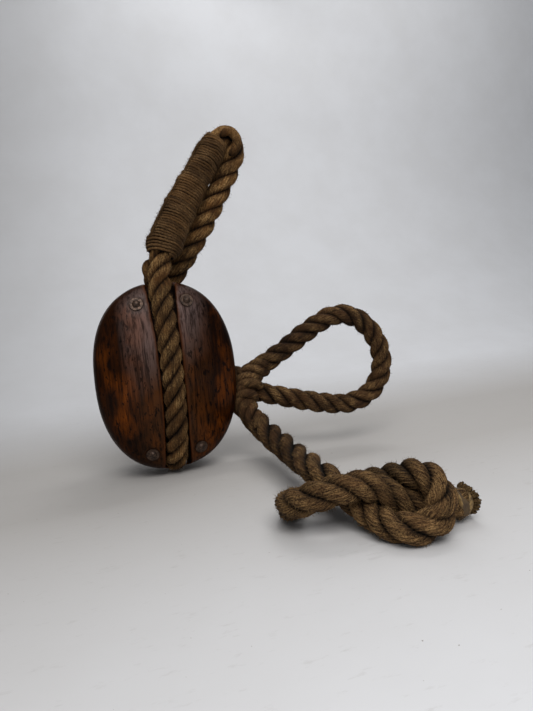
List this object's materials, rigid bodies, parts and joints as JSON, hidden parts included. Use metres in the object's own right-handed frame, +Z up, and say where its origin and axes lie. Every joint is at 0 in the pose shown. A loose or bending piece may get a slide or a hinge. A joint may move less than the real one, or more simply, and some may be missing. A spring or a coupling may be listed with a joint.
{
  "type": "single sheave block",
  "caption": "Wooden rope-stropped pulley block with one turning sheave on a pin, a served eye above, and a rope fall rove through it that ends in an eye and a stopper knot.",
  "frame": {"origin": "centre of the sheave, in the middle of the swallow", "axes": "+Y along the sheave's axis towards the rear cheek, +Z up towards the strop's eye, +X towards the side where the fall leaves"},
  "size_m": [0.3404, 0.363, 0.3872],
  "materials": {
    "shell_wood": "dark varnished elm, glossy and worn",
    "sheave_wood": "oiled lignum vitae",
    "rivet_copper": "tarnished copper",
    "bronze": "worn bronze",
    "iron": "greased turned iron",
    "rope": "old brown hemp, rough",
    "marline": "tarred two-yarn marline",
    "tape": "dull buff cloth tape"
  },
  "bodies": {
    "shell": {"front_cheek": "shell_wood", "rear_cheek": "shell_wood", "crown_chock": "shell_wood", "tail_chock": "shell_wood", "rivet_crown_left": "rivet_copper", "rivet_crown_right": "rivet_copper", "rivet_tail_left": "rivet_copper", "rivet_tail_right": "rivet_copper", "rove_crown_left_front": "rivet_copper", "rove_crown_left_rear": "rivet_copper", "rove_crown_right_front": "rivet_copper", "rove_crown_right_rear": "rivet_copper", "rove_tail_left_front": "rivet_copper", "rove_tail_left_rear": "rivet_copper", "rove_tail_right_front": "rivet_copper", "rove_tail_right_rear": "rivet_copper", "pin": "iron", "strop_rope": "rope", "strop_serving": "marline", "strop_strand_end": "rope", "fall_eye": "rope", "fall_round_sheave": "rope", "fall_tail": "rope", "fall_knot": "rope", "fall_splice": "rope", "fall_whipping": "tape", "fall_frayed_end": "rope"},
    "sheave_wheel": {"sheave": "sheave_wood", "sheave_bush": "bronze", "coak_front": "bronze", "coak_rear": "bronze", "coak_rivets": "bronze"}
  },
  "joints": [
    {"name": "sheave_spin", "type": "hinge", "parent": "shell", "child": "sheave_wheel", "pos_m": [0, 0, 0], "axis": [0, 1, 0], "continuous": true}
  ]
}
